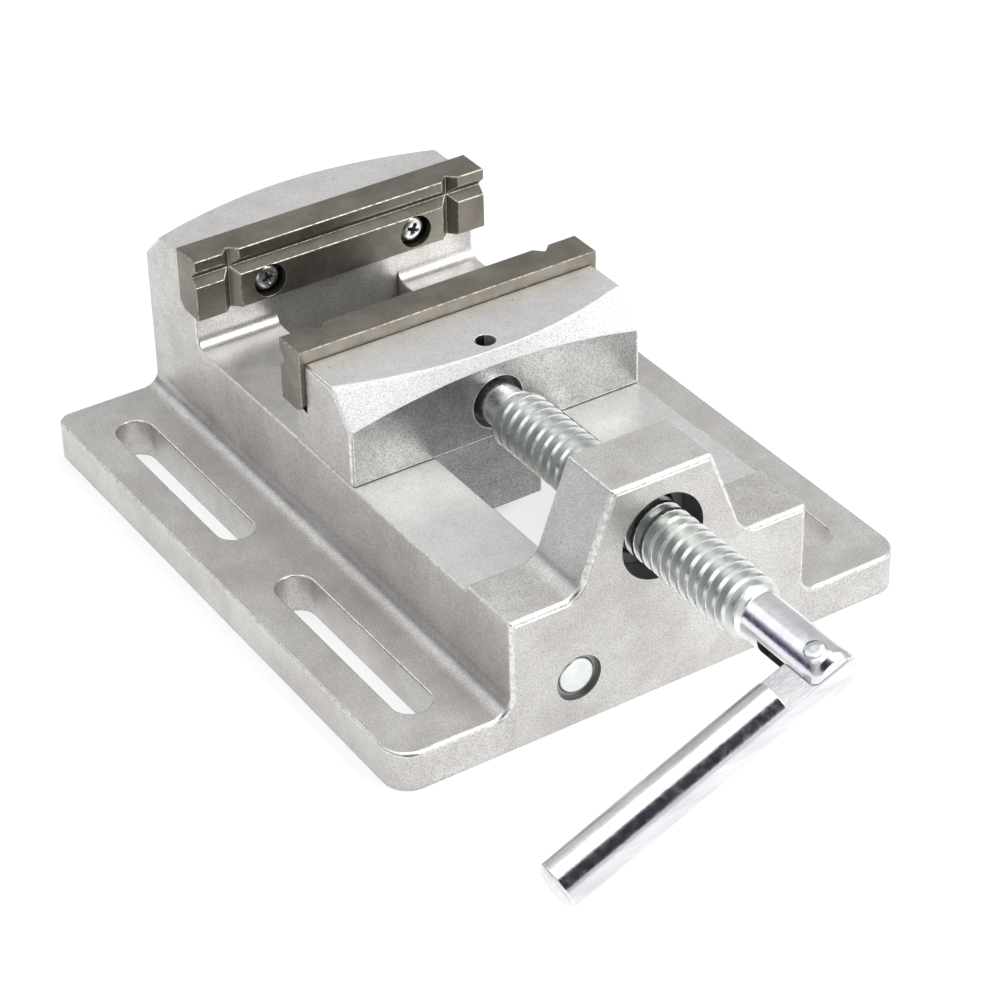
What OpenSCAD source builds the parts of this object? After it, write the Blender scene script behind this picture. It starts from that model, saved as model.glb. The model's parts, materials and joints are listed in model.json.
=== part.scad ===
// Drill press vise: a slotted base casting with a fixed jaw, a moving jaw guided by two round rods,
// a trapezoidal spindle with a folding handle, and prism jaw plates.
// Origin: centre of the base underside. +Y points at the fixed jaw, +Z up. Millimetres.

/* [Base casting] */
// Length of the base along Y
base_l = 200; // [196:1:206]
// Width of the base over the clamping flanges
base_w = 168; // [164:1:180]
// Thickness of the clamping flanges
flange_t = 12.5; // [11:0.5:14]
// Width of the raised block between the flanges
block_w = 97; // [96:0.5:99]
// Height of the machined rails
rail_z = 40; // [39.5:0.5:41]
// Height of the front shoulders
shoulder_z = 42; // [41.5:0.5:43]
// Thickness of the front wall that carries the spindle nut
front_t = 21.4; // [20:0.2:23]
// Width of the slot between the rails
slot_w = 42.4; // [40:0.2:44]
// Plan radius of the front flange corners
flange_r = 8; // [4:1:12]
// Plan radius of the rear flange corners
flange_back_r = 5; // [4:1:8]

/* [Mounting slots] */
// Distance of each slot row from the centre
bolt_slot_x = 67.3; // [66:0.1:70]
// Centre of each slot along Y, either side of the middle
bolt_slot_y = 48.5; // [46:0.5:50]
// Slot width
bolt_slot_w = 11.5; // [8:0.5:13]
// Slot length, end to end
bolt_slot_l = 73; // [60:1:78]

/* [Spindle bearing] */
// Height of the spindle axis
axis_z = 51; // [50.5:0.25:52]
// Top of the bearing block
bearing_z = 71; // [70:0.5:73]
// Width of the bearing block at its top
bearing_top_w = 32; // [31:0.5:36]
// Width of the bearing block at the shoulders
bearing_foot_w = 54.4; // [52:0.2:58]
// Diameter of the bore that takes the nut
nut_bore_d = 26.3; // [26:0.1:26.6]

/* [Jaws] */
// Height of both jaw castings
jaw_top_z = 68.2; // [67.5:0.1:69]
// Depth of each jaw casting along Y
jaw_d = 30; // [29:0.5:31]
// Width of the moving jaw casting
moving_jaw_w = 97; // [94:0.5:98]
// Width of the jaw plates
plate_w = 100; // [99:0.5:102]
// Height of the jaw plates
plate_h = 20; // [19.5:0.1:20.5]
// Thickness of the jaw plates
plate_t = 11.2; // [10.5:0.1:11.5]
// Height of the jaw plates' lower edge
plate_z = 52.2; // [52:0.1:52.5]
// How far the jaw plates stand in front of the castings
plate_proud = 5.3; // [5:0.1:5.6]
// Gap between the jaw plates as shown
opening = 49.5; // [40:0.5:60]

/* [Spindle and handle] */
// Outside diameter of the trapezoidal thread
thread_d = 18; // [17.6:0.1:18.4]
// Pitch of the thread
thread_pitch = 4; // [3.5:0.5:4]
// Diameter of the plain neck
neck_d = 13; // [12.6:0.1:13.2]
// Diameter of the clevis end
clevis_d = 14; // [13.6:0.1:14.4]
// Diameter of the handle bar
handle_d = 13.5; // [12:0.5:13.5]
// Handle length from the pin to its far end
handle_l = 87.5; // [80:0.5:90]
// Angle of the clevis slot below the horizontal
handle_tilt = 22.5; // [20:0.5:28]

/* [Guide] */
// Diameter of the guide rods
rod_d = 11; // [10.5:0.5:11]
// Distance of each guide rod from the centre
rod_x = 27; // [26.5:0.5:27.5]
// Height of the guide rods
rod_z = 15.5; // [15:0.5:16]

/* [Hidden] */
$fn = 64;
eps = 0.01;
fit = 0.02;            // radial gap of a pressed or glued joint
run = 0.05;            // radial gap of a running fit
slide_gap = 0.1;       // gap under the moving jaw
y_front = -base_l / 2;
y_back = base_l / 2;
y_wall = y_front + front_t;
y_fixed = y_back - jaw_d;
y_fixed_plate = y_fixed - plate_proud;
y_moving_plate = y_fixed_plate - opening;
y_moving = y_moving_plate - plate_proud;
y_moving_front = y_moving - jaw_d;

// Cast details
block_r = 3;
flange_fillet_r = 5;
shoulder_fillet_r = 6;
cove_cut = 0.02;       // makes the bearing block's coves cross its faces cleanly
rail_fillet_r = 4;
cap_angle = 48;        // slope of the jaw's rounded top band
cap_r = 203;           // radius of that band across the jaw
cap_edge = 1.5;        // depth of the band at the centre of the jaw

// Guide cavity below the rails
cavity_w = 77;
cavity_z = 25;
cavity_back = y_fixed + 18;
rod_front = y_front + 1.1;
rod_back = cavity_back + 9;
rod_mouth_d = 14.6;
rod_mouth_depth = 1.5;
rod_screw_y = y_front + 10;
rod_screw_d = 6;

// Nut
nut_back = y_wall - 2.4;
nut_l = 10;
nut_back_hole_d = 20;
nut_pin_d = 4;
nut_pin_y = nut_back - nut_l / 2;
nut_pin_l = 18;

// Moving jaw
tongue_w = slot_w - 0.6;
tongue_front = y_moving_front + 10.2;
tongue_l = 30;
skirt_t = 5;
skirt_z = 7;
carriage_top = cavity_z - 0.6;
carriage_z = 6.5;
carriage_w = 74;
carriage_l = 38;
carriage_y = tongue_front + skirt_t + 0.3;
bush_d = 13.5;
bush_l = 12;
carriage_screw_y = [carriage_y + 6, carriage_y + 18];
carriage_screw_d = 6;
carriage_head_d = 10;
carriage_head_h = 6;
washer_d = 12;
washer_t = 1.6;
head_z = 7.1;

// Spindle, measured from the moving jaw's front face
mouth_d = 16.4;
mouth_depth = 4.5;
bore_back = y_moving_front + 19.6;
pad_t = 3;
nose_y = bore_back - pad_t - 0.1;
groove_y = y_moving_front + 6.4;
groove_w = 5.4;
groove_d = 10;
grub_d = 6;
grub_tip_d = 4.6;
grub_l = 7.5;
thread_back = y_moving_front - 8.9;
thread_l = 114;
thread_front = thread_back - thread_l;
thread_depth = 2.25;
clevis_end = y_moving_front - 153.9;
clevis_chamfer = 1.3;
pin_y = clevis_end + 6;
pin_d = 6;
lug_t = 5;
clevis_slot = lug_t + 0.3;
clevis_slot_depth = 23.5;
shoulder_l = 15;
lug_end = 6.5;          // from the pin to the lug's square end

// Jaw plates
v_depth = 2.7;
v_z = plate_z + 13.8;
v_x = 37.8;
plate_bevel = 2.5;
screw_x = 25.3;
screw_z = plate_z + 6;
screw_d = 5;
screw_l = 18;
screw_head_d = 9;
screw_head_h = 3.4;
recess_d = 10.6;
recess_depth = 5;

// ---------- shared shapes ----------

// A rectangle centred on X and Y with round corners
module round_rect(w, l, r) {
    square([w - 2 * r, l], center = true);
    square([w, l - 2 * r], center = true);
    for (x = [-1, 1], y = [-1, 1])
        translate([x * (w / 2 - r), y * (l / 2 - r)]) circle(r);
}

// A cylinder along Y from y0 to y1
module y_rod(y0, y1, d, x = 0, z = axis_z) {
    translate([x, y1, z]) rotate([90, 0, 0]) cylinder(h = y1 - y0, d = d);
}

// A cone along Y, with a diameter at each end
module y_cone(y0, y1, d0, d1, x = 0, z = axis_z) {
    translate([x, y1, z]) rotate([90, 0, 0]) cylinder(h = y1 - y0, d1 = d1, d2 = d0);
}

// A box given by its two corners
module span(a, b) {
    translate(a) cube(b - a);
}

// The concave quarter round between a wall and a floor, in 2D, corner at the origin
module cove(r) {
    difference() {
        square(r);
        translate([r, r]) circle(r);
    }
}

// Everything inside the large tilted cylinder that rounds the outer top edge of a jaw.
// The jaw's outer face is at y = 0 and looks along -Y.
module cap_envelope() {
    translate([0, cap_edge, jaw_top_z])
        rotate([cap_angle, 0, 0])
            translate([0, 0, -cap_r])
                rotate([90, 0, 0])
                    cylinder(h = 400, r = cap_r, center = true, $fn = 360);
}

// A pan-head screw with a cross recess: head seat at the origin, shank along +Y
module pan_screw(d, l, head_d, head_h) {
    difference() {
        union() {
            rotate([-90, 0, 0]) cylinder(h = l, d = d);
            intersection() {
                rotate([90, 0, 0]) cylinder(h = head_h, d = head_d);
                translate([0, head_d * 0.75 - head_h, 0]) sphere(head_d * 0.75);
            }
        }
        for (a = [0, 90])
            rotate([0, a, 0])
                span([-0.5, -head_h - 1, -2.1], [0.5, -head_h + 1.7, 2.1]);
    }
}

// ---------- base ----------

module bolt_slot_cutters() {
    for (x = [-1, 1], y = [-1, 1])
        translate([x * bolt_slot_x, y * bolt_slot_y, -1])
            linear_extrude(flange_t + 2) {
                square([bolt_slot_w, bolt_slot_l - bolt_slot_w], center = true);
                for (e = [-1, 1])
                    translate([0, e * (bolt_slot_l - bolt_slot_w) / 2]) circle(d = bolt_slot_w);
            }
}

// The trapezoid block that holds the spindle nut, with its concave feet
module bearing_block() {
    side = atan2(bearing_z - shoulder_z, (bearing_foot_w - bearing_top_w) / 2);
    foot = shoulder_fillet_r / tan((180 - side) / 2);
    translate([0, y_wall, 0])
        rotate([90, 0, 0])
            linear_extrude(front_t) {
                polygon([[-bearing_foot_w / 2, shoulder_z], [-bearing_top_w / 2, bearing_z],
                         [bearing_top_w / 2, bearing_z], [bearing_foot_w / 2, shoulder_z]]);
                for (s = [0, 1])
                    mirror([s, 0])
                        difference() {
                            polygon([[bearing_foot_w / 2 - 4, shoulder_z - 1],
                                     [bearing_foot_w / 2 + foot, shoulder_z - 1],
                                     [bearing_foot_w / 2 + foot, shoulder_z],
                                     [bearing_foot_w / 2 - foot * cos(side),
                                      shoulder_z + foot * sin(side)]]);
                            translate([bearing_foot_w / 2 + foot, shoulder_z + shoulder_fillet_r])
                                circle(shoulder_fillet_r + cove_cut);
                        }
            }
}

module base_solid() {
    linear_extrude(flange_t) {
        round_rect(base_w, base_l, flange_r);
        translate([0, base_l / 4]) round_rect(base_w, base_l / 2, flange_back_r);
    }
    linear_extrude(rail_z) round_rect(block_w, base_l, block_r);
    intersection() {
        linear_extrude(shoulder_z) round_rect(block_w, base_l, block_r);
        span([-block_w, y_front - 1, 0], [block_w, y_wall, shoulder_z + 1]);
    }
    bearing_block();
    intersection() {
        linear_extrude(jaw_top_z) round_rect(block_w, base_l, block_r);
        span([-block_w, y_fixed, 0], [block_w, y_back + 1, jaw_top_z + 1]);
        translate([0, y_back, 0]) mirror([0, 1, 0]) cap_envelope();
    }
    for (s = [0, 1])
        mirror([s, 0, 0])
            translate([block_w / 2, y_back - block_r, flange_t])
                rotate([90, 0, 0])
                    linear_extrude(base_l - 2 * block_r) cove(flange_fillet_r);
    translate([-block_w / 2, y_fixed, rail_z])
        rotate([90, 0, 90])
            linear_extrude(block_w) mirror([1, 0]) cove(rail_fillet_r);
}

module base_casting() {
    color([0.74, 0.73, 0.71])
    difference() {
        base_solid();
        // seat of the fixed jaw plate
        span([-block_w, y_fixed - 1, plate_z], [block_w, y_fixed_plate + plate_t, jaw_top_z + 1]);
        // slot between the rails and the cavity below them
        span([-slot_w / 2, y_wall, -1], [slot_w / 2, y_fixed, rail_z + 10]);
        span([-cavity_w / 2, y_wall, -1], [cavity_w / 2, cavity_back, cavity_z]);
        bolt_slot_cutters();
        // spindle nut bore
        y_rod(y_front - 1, nut_back, nut_bore_d);
        y_rod(nut_back - 1, y_wall + 1, nut_back_hole_d);
        translate([0, nut_pin_y, -1]) cylinder(h = axis_z, d = nut_pin_d);
        // guide rods and their grub screws
        for (x = [-rod_x, rod_x]) {
            y_rod(y_front - 1, rod_back, rod_d + 2 * fit, x, rod_z);
            y_cone(y_front - eps, y_front + rod_mouth_depth, rod_mouth_d, rod_d + 0.5, x, rod_z);
            translate([x, rod_screw_y, -1]) cylinder(h = rod_z, d = rod_screw_d);
        }
        // fixed jaw screws
        for (x = [-screw_x, screw_x])
            y_rod(y_fixed, y_back - 8, screw_d + 2 * fit, x, screw_z);
    }
}

module guide_rod(x) {
    color([0.78, 0.82, 0.80]) {
        y_rod(rod_front + 0.6, rod_back - 0.6, rod_d, x, rod_z);
        y_cone(rod_front, rod_front + 0.6, rod_d - 1.2, rod_d, x, rod_z);
    }
}

module guide_rod_left() {
    guide_rod(-rod_x);
}

module guide_rod_right() {
    guide_rod(rod_x);
}

module rod_grub_screws() {
    color([0.25, 0.25, 0.26])
    for (x = [-rod_x, rod_x])
        translate([x, rod_screw_y, 1.5])
            difference() {
                cylinder(h = rod_z - rod_d / 2 - 1.6, d = rod_screw_d - 2 * fit);
                translate([0, 0, -1]) cylinder(h = 4, d = 3.4, $fn = 6);
            }
}

module spindle_nut() {
    color([0.42, 0.43, 0.43])
    difference() {
        y_rod(nut_back - nut_l, nut_back - fit, nut_bore_d - 2 * fit);
        y_rod(nut_back - nut_l - 1, nut_back + 1, thread_d + 2 * run);
        y_cone(nut_back - nut_l - eps, nut_back - nut_l + 1.2, thread_d + 2.4, thread_d);
        translate([0, nut_pin_y, 0]) cylinder(h = axis_z - thread_d / 2 - 1.2, d = nut_pin_d + 2 * fit);
    }
}

module nut_pin() {
    color([0.55, 0.56, 0.57])
    translate([0, nut_pin_y, axis_z - thread_d / 2 - 1.4 - nut_pin_l])
        difference() {
            cylinder(h = nut_pin_l, d = nut_pin_d - 2 * fit);
            translate([0, 0, -1]) cylinder(h = nut_pin_l + 2, d = nut_pin_d - 1.8);
        }
}

// ---------- jaw plates ----------

// A jaw plate with its gripping face at y = 0, looking along -Y
module jaw_plate() {
    groove = v_depth + 0.5;
    difference() {
        span([-plate_w / 2, 0, plate_z], [plate_w / 2, plate_t, plate_z + plate_h]);
        // long V groove for flat stock
        translate([-plate_w / 2 - 1, 0, v_z])
            rotate([90, 0, 90])
                linear_extrude(plate_w + 2)
                    polygon([[-0.5, -groove], [v_depth, 0], [-0.5, groove]]);
        // upright V grooves for round stock
        for (x = [-v_x, v_x])
            translate([x, 0, plate_z - 1])
                linear_extrude(plate_h + 2)
                    polygon([[-groove, -0.5], [0, v_depth], [groove, -0.5]]);
        // bevel along the lower rear edge
        translate([-plate_w / 2 - 1, plate_t, plate_z])
            rotate([90, 0, 90])
                linear_extrude(plate_w + 2)
                    polygon([[-plate_bevel, -1], [1, -1], [1, plate_bevel],
                             [0, plate_bevel], [-plate_bevel, 0]]);
        for (x = [-screw_x, screw_x]) {
            y_rod(-1, recess_depth, recess_d, x, screw_z);
            y_rod(0, plate_t + 1, screw_d + 0.5, x, screw_z);
        }
    }
}

module jaw_screws() {
    for (x = [-screw_x, screw_x])
        translate([x, recess_depth, screw_z])
            pan_screw(screw_d, screw_l, screw_head_d, screw_head_h);
}

module fixed_jaw_plate() {
    color([0.47, 0.44, 0.40]) translate([0, y_fixed_plate, 0]) jaw_plate();
}

module fixed_jaw_screws() {
    color([0.80, 0.82, 0.83]) translate([0, y_fixed_plate, 0]) jaw_screws();
}

module moving_jaw_plate() {
    color([0.47, 0.44, 0.40]) translate([0, y_moving_plate, 0]) mirror([0, 1, 0]) jaw_plate();
}

module moving_jaw_screws() {
    color([0.80, 0.82, 0.83]) translate([0, y_moving_plate, 0]) mirror([0, 1, 0]) jaw_screws();
}

// ---------- moving jaw ----------

module moving_jaw_casting() {
    color([0.76, 0.75, 0.73])
    difference() {
        union() {
            intersection() {
                span([-moving_jaw_w / 2, y_moving_front, rail_z + slide_gap],
                     [moving_jaw_w / 2, y_moving, jaw_top_z]);
                translate([0, y_moving_front, 0]) cap_envelope();
            }
            // tongue through the slot, and the chip skirt in front of the carriage
            span([-tongue_w / 2, tongue_front, carriage_top],
                 [tongue_w / 2, y_moving, rail_z + 1]);
            span([-tongue_w / 2, y_moving - 1, carriage_top],
                 [tongue_w / 2, tongue_front + tongue_l, rail_z - 1]);
            span([-tongue_w / 2, tongue_front, skirt_z],
                 [tongue_w / 2, tongue_front + skirt_t, carriage_top + 1]);
        }
        // seat of the jaw plate
        span([-block_w, y_moving_plate - plate_t, plate_z],
             [block_w, y_moving + 1, jaw_top_z + 1]);
        // spindle bore
        y_rod(y_moving_front - 1, bore_back, neck_d + 2 * run);
        y_rod(y_moving_front - 1, y_moving_front + mouth_depth, mouth_d);
        translate([0, groove_y, axis_z]) cylinder(h = 30, d = grub_d + 2 * fit);
        // jaw plate screws
        for (x = [-screw_x, screw_x])
            y_rod(y_moving_front + 12, y_moving, screw_d + 2 * fit, x, screw_z);
        // carriage screws
        for (y = carriage_screw_y)
            translate([0, y, carriage_top - 1]) cylinder(h = 14, d = carriage_screw_d + 2 * fit);
    }
}

module guide_carriage() {
    color([0.60, 0.61, 0.62])
    difference() {
        span([-carriage_w / 2, carriage_y, carriage_z],
             [carriage_w / 2, carriage_y + carriage_l, carriage_top]);
        for (x = [-rod_x, rod_x])
            y_rod(carriage_y - 1, carriage_y + carriage_l + 1, bush_d + 2 * fit, x, rod_z);
        for (y = carriage_screw_y)
            translate([0, y, 0]) {
                cylinder(h = carriage_top + 1, d = carriage_screw_d + 0.6);
                cylinder(h = head_z + carriage_head_h + washer_t, d = washer_d + 0.6);
            }
    }
}

module guide_bushes() {
    color([0.72, 0.56, 0.30])
    for (x = [-rod_x, rod_x], y = [carriage_y, carriage_y + carriage_l - bush_l])
        difference() {
            y_rod(y, y + bush_l, bush_d, x, rod_z);
            y_rod(y - 1, y + bush_l + 1, rod_d + 2 * run, x, rod_z);
        }
}

module carriage_screws() {
    color([0.30, 0.30, 0.31])
    for (y = carriage_screw_y)
        translate([0, y, head_z])
            difference() {
                union() {
                    cylinder(h = carriage_head_h, d = carriage_head_d);
                    cylinder(h = 28, d = carriage_screw_d);
                }
                translate([0, 0, -1]) cylinder(h = 4, d = 5.7, $fn = 6);
            }
}

module carriage_washers() {
    color([0.75, 0.77, 0.78])
    for (y = carriage_screw_y)
        translate([0, y, head_z + carriage_head_h])
            difference() {
                cylinder(h = washer_t, d = washer_d);
                translate([0, 0, -1]) cylinder(h = washer_t + 2, d = carriage_screw_d + 0.4);
            }
}

module thrust_pad() {
    color([0.50, 0.51, 0.52]) y_rod(bore_back - pad_t, bore_back - fit, neck_d - 0.2);
}

module spindle_grub_screw() {
    tip = axis_z + groove_d / 2 + 0.4;
    color([0.22, 0.22, 0.23])
    translate([0, groove_y, tip])
        difference() {
            union() {
                cylinder(h = 3, d = grub_tip_d);
                translate([0, 0, 2]) cylinder(h = grub_l - 2, d = grub_d);
            }
            translate([0, 0, grub_l - 3]) cylinder(h = 4, d = 3.4, $fn = 6);
        }
}

// ---------- spindle and handle ----------

// Half profile of the thread, as points [radius, distance from the thread's rear end]
function thread_points() = let (
        n = floor(thread_l / thread_pitch),
        r = thread_d / 2,
        root = r - thread_depth,
        crest = 0.366 * thread_pitch,
        flank = thread_depth * tan(15))
    [for (i = [0 : n - 1]) let (y = 0.5 + i * thread_pitch)
        each [[r, y], [r, y + crest], [root, y + crest + flank], [root, y + thread_pitch - flank]]];

module spindle_blank() {
    root = thread_d / 2 - thread_depth;
    // neck and nose
    y_rod(thread_back - 1, groove_y - groove_w / 2, neck_d);
    y_rod(groove_y - groove_w / 2 - 1, groove_y + groove_w / 2 + 1, groove_d);
    y_rod(groove_y + groove_w / 2, nose_y - 0.8, neck_d);
    y_cone(nose_y - 0.8, nose_y, neck_d, neck_d - 1.6);
    // thread
    translate([0, thread_back, axis_z])
        rotate([90, 0, 0])
            rotate_extrude()
                polygon(concat([[0, 0], [root, 0]], thread_points(), [[root, thread_l], [0, thread_l]]));
    // clevis
    y_rod(clevis_end + clevis_chamfer, thread_front + 1, clevis_d);
    y_cone(clevis_end, clevis_end + clevis_chamfer, clevis_d - 2 * clevis_chamfer, clevis_d);
}

module spindle() {
    color([0.78, 0.81, 0.77])
    difference() {
        spindle_blank();
        translate([0, pin_y, axis_z])
            rotate([0, -handle_tilt, 0]) {
                span([-20, clevis_end - pin_y - 1, -clevis_slot / 2],
                     [20, clevis_end + clevis_slot_depth - pin_y, clevis_slot / 2]);
                cylinder(h = 40, d = pin_d + 2 * fit, center = true);
            }
    }
}

module handle_pin() {
    color([0.80, 0.81, 0.82])
    translate([0, pin_y, axis_z])
        rotate([0, -handle_tilt, 0])
            cylinder(h = clevis_d - 0.4, d = pin_d, center = true);
}

module handle_lever() {
    color([0.83, 0.84, 0.85])
    translate([0, pin_y, axis_z])
        rotate([0, -handle_tilt, 0])
            difference() {
                union() {
                    translate([lug_end, 0, 0])
                        rotate([0, -90, 0]) cylinder(h = handle_l + lug_end - 1, d = handle_d);
                    translate([1 - handle_l, 0, 0])
                        rotate([0, -90, 0]) cylinder(h = 1, d1 = handle_d, d2 = handle_d - 2);
                }
                // flats either side of the lug
                for (s = [-1, 1])
                    translate([0, 0, s * (lug_t / 2 + handle_d / 2)])
                        cube([2 * shoulder_l, 2 * handle_d, handle_d], center = true);
                cylinder(h = 20, d = pin_d + 2 * run, center = true);
            }
}

base_casting();
guide_rod_left();
guide_rod_right();
rod_grub_screws();
spindle_nut();
nut_pin();
fixed_jaw_plate();
fixed_jaw_screws();
moving_jaw_casting();
moving_jaw_plate();
moving_jaw_screws();
guide_carriage();
guide_bushes();
carriage_screws();
carriage_washers();
thrust_pad();
spindle_grub_screw();
spindle();
handle_pin();
handle_lever();
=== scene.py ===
"""Looks of a drill press vise: castings, jaw plates, screws, threaded spindle and folding handle.

Sizes below are millimetres in the CAD frame: +Y runs from the handle to the fixed jaw, +Z is up,
and z = 0 is the table that the base stands on. Blender itself works in metres.
"""

import json
import math

import bmesh
import bpy
from mathutils import Matrix, Vector


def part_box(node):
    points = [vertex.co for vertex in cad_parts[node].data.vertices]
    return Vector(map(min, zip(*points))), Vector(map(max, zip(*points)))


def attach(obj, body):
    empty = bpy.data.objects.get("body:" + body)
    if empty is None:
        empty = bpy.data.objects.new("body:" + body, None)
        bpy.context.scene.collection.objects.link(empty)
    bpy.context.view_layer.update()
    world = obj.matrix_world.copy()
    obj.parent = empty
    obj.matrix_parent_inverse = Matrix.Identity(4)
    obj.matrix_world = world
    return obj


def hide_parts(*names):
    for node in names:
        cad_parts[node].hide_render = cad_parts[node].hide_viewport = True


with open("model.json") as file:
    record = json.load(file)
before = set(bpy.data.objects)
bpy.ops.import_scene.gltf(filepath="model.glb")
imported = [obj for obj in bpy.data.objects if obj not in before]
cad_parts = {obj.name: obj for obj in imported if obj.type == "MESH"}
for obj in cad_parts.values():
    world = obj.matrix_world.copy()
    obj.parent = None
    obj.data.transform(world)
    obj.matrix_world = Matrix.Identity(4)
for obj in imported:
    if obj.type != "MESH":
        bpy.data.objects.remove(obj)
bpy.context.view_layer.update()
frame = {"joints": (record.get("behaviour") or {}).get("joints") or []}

MM = 0.001


def edges_of(node):
    """Lowest and highest corner of a CAD node, in millimetres."""
    low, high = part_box(node)
    return low / MM, high / MM


# ---------------------------------------------------------------- sizes read from the frame
BASE_LOW, BASE_HIGH = edges_of("base_casting")
JAW_LOW, JAW_HIGH = edges_of("moving_jaw_casting")
FIXED_PLATE_LOW, FIXED_PLATE_HIGH = edges_of("fixed_jaw_plate")
MOVING_PLATE_LOW, MOVING_PLATE_HIGH = edges_of("moving_jaw_plate")
SPINDLE_LOW, SPINDLE_HIGH = edges_of("spindle")
ROD_LOW, ROD_HIGH = edges_of("guide_rod_right")
PIN = {j["name"]: j for j in frame["joints"]}["handle_fold"]

FRONT, BACK = BASE_LOW.y, BASE_HIGH.y
HALF_BASE = BASE_HIGH.x
JAW_TOP = JAW_HIGH.z
PLATE_Z, PLATE_TOP = FIXED_PLATE_LOW.z, FIXED_PLATE_HIGH.z
PLATE_T = FIXED_PLATE_HIGH.y - FIXED_PLATE_LOW.y
AXIS_Z = PIN["pos_m"][2] / MM
PIN_Y = PIN["pos_m"][1] / MM
ROD_X, ROD_Z = (ROD_LOW.x + ROD_HIGH.x) / 2, (ROD_LOW.z + ROD_HIGH.z) / 2
ROD_D = ROD_HIGH.x - ROD_LOW.x
HANDLE_TILT = math.degrees(math.atan2(-PIN["axis"][0], PIN["axis"][2]))   # the handle's turn at rest

# ---------------------------------------------------------------- sizes of the castings
FLANGE_T = 12.5
FACING_T, FACING_INSET, FACING_Z = 0.3, 1.45, 0.7    # the front's machined patch, its margins and foot
FLANGE_FRONT_R, FLANGE_BACK_R = 8, 5
HALF_BLOCK = 48.5
RAIL_Z, SHOULDER_Z = 40, 42
WALL_T = 21.4                       # the front wall, with the nut and the rods' ends in it
HALF_SLOT, SLOT_TOP_Z = 21.2, RAIL_Z + 12
HALF_CAVITY, CAVITY_Z, CAVITY_UNDER_JAW = 38.5, 25, 18
JAW_D, JAW_ROOT = 30, 6             # a jaw's depth, and how far the fixed one goes down into the block
FIXED_TOP, FIXED_ARC = (0.4, 9.5), (64, 59)          # see jaw_solid
MOVING_TOP, MOVING_ARC = (0.7, 9.2), (63.5, 58)
JAW_SLICES = 16                     # slices in each half of a jaw
BEARING_TOP, BEARING_FOOT, BEARING_Z = 16, 27.2, 71
COVE_R, FILLET_R, RAIL_FILLET_R = 6, 5, 4
FLANGE_EDGE, FRONT_EDGE = 0.6, 1.3  # rounding of the flanges' and the front's edges
BOLT_SLOT_X, BOLT_SLOT_Y, BOLT_SLOT_W, BOLT_SLOT_L = 67.3, 48.5, 11.5, 73
NUT_BORE_D, NUT_BACK, NUT_HOLE_D = 26.3, 19, 20
ROD_RECESS_R, ROD_RECESS_DEPTH, ROD_GAP, ROD_EDGES_R = 7.1, 1.6, 0.1, 9
MOUTH_R, MOUTH_DEPTH = 8.2, 4.5     # the moving jaw's bore: its wide mouth, and the part behind that
NOSE_R, NOSE_DEPTH = 6.55, 19.6
GRUB_HOLE_R, GRUB_Y = 3.02, JAW_LOW.y + 6.4
JAW_LIFT = 0.1                      # the moving jaw's gap above the rails
TONGUE_GAP, TONGUE_DROP, TONGUE_T, TONGUE_FRONT = 0.3, 0.6, 5, JAW_LOW.y + 10.2

# ---------------------------------------------------------------- sizes of the plates and screws
PLATE_PROUD, PLATE_CHAMFER = 5.3, 2.5
SCREW_X, SCREW_Z, SCREW_HOLE_R = 25.3, PLATE_Z + 6, 2.75
RECESS_D, RECESS_DEPTH = 10.6, 5
V_DEPTH, V_Z, V_X = 2.7, PLATE_Z + 13.8, 37.8
HEAD_R, HEAD_RIM, HEAD_DOME, SHANK_R, SHANK_L = 4.5, 1.1, 2.3, 2.5, 12.5
CROSS_REACH, CROSS_HALF = 2.75, 0.72     # an arm's length and half its width

# ---------------------------------------------------------------- sizes of the spindle and handle
PITCH, THREAD_R, ROOT_R, NECK_R, GROOVE_R, CLEVIS_R = 4.0, 9.0, 6.75, 6.5, 5.0, 7.0
THREAD_BACK, THREAD_L = JAW_LOW.y - 8.9, 114
RUN_OUT, RUN_IN = 6.0, 1.8          # lengths over which the thread fades, at the clevis end and at the neck
RING_STEP = 0.16                    # distance between the rings that make the thread
CLEVIS_SLOT_END, HALF_CLEVIS_SLOT = 17.5, 2.65
PIN_R, PIN_HOLE_R, LUG_HOLE_R = 3, 3.03, 3.05
HANDLE_R, HANDLE_L, LUG_T, LUG_END, SHOULDER_L = 6.75, 87.5, 5.0, 6.5, 15.0

# ---------------------------------------------------------------- sizes of the modelling tools
OVER = 5                            # how far a shape reaches past what it cuts, or into what it joins
WIDE, LONG = 60, 20                 # half-widths of tools that cut right through a casting or the spindle
WELD_GAP, SLIVER, FLAT_TURN = 0.004, 0.01, 0.4       # clean-up after the booleans: mm, mm, degrees
CHAMFER = 0.2                       # on the sharp edges of the inner CAD parts
# painted shade: corners and gaps within this reach are darkened in the colour
CREASE_SHADE_REACH = 1.6                  # how near another surface has to be to darken a crease
SHARP_TURN = 50                     # edges that turn by more degrees stay sharp in the shading

# ---------------------------------------------------------------- numbers of a piece's materials
ON_PLAIN, ON_EDGE = 0, 1                              # every piece, in the order that dress gets them
ON_SATIN, ON_BORE_SHADED, ON_BAND, ON_COARSE_SHADED = 2, 3, 4, 5    # castings
# 2 on jaw plates and screws is painted shade in the V groove and in the cross recesses
ON_PAINTED_SHADE = 2                                           # jaw plates and screws
ON_CLEVIS, ON_CREST_HIGHLIGHT, ON_FLANK_SHADED = 1, 2, 3               # the spindle, which has no rounded edges


# ================================================================ modelling kit
def new_piece(name, bm):
    """An object from a bmesh whose points are in millimetres."""
    bmesh.ops.scale(bm, vec=(MM, MM, MM), verts=bm.verts)
    bmesh.ops.recalc_face_normals(bm, faces=bm.faces)
    mesh = bpy.data.meshes.new(name)
    bm.to_mesh(mesh)
    bm.free()
    piece = bpy.data.objects.new(name, mesh)
    bpy.context.scene.collection.objects.link(piece)
    return piece


SWEEP = {
    "X": lambda u, v, w: (w, u, v),
    "Y": lambda u, v, w: (u, w, v),
    "Z": lambda u, v, w: (u, v, w),
}


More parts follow.
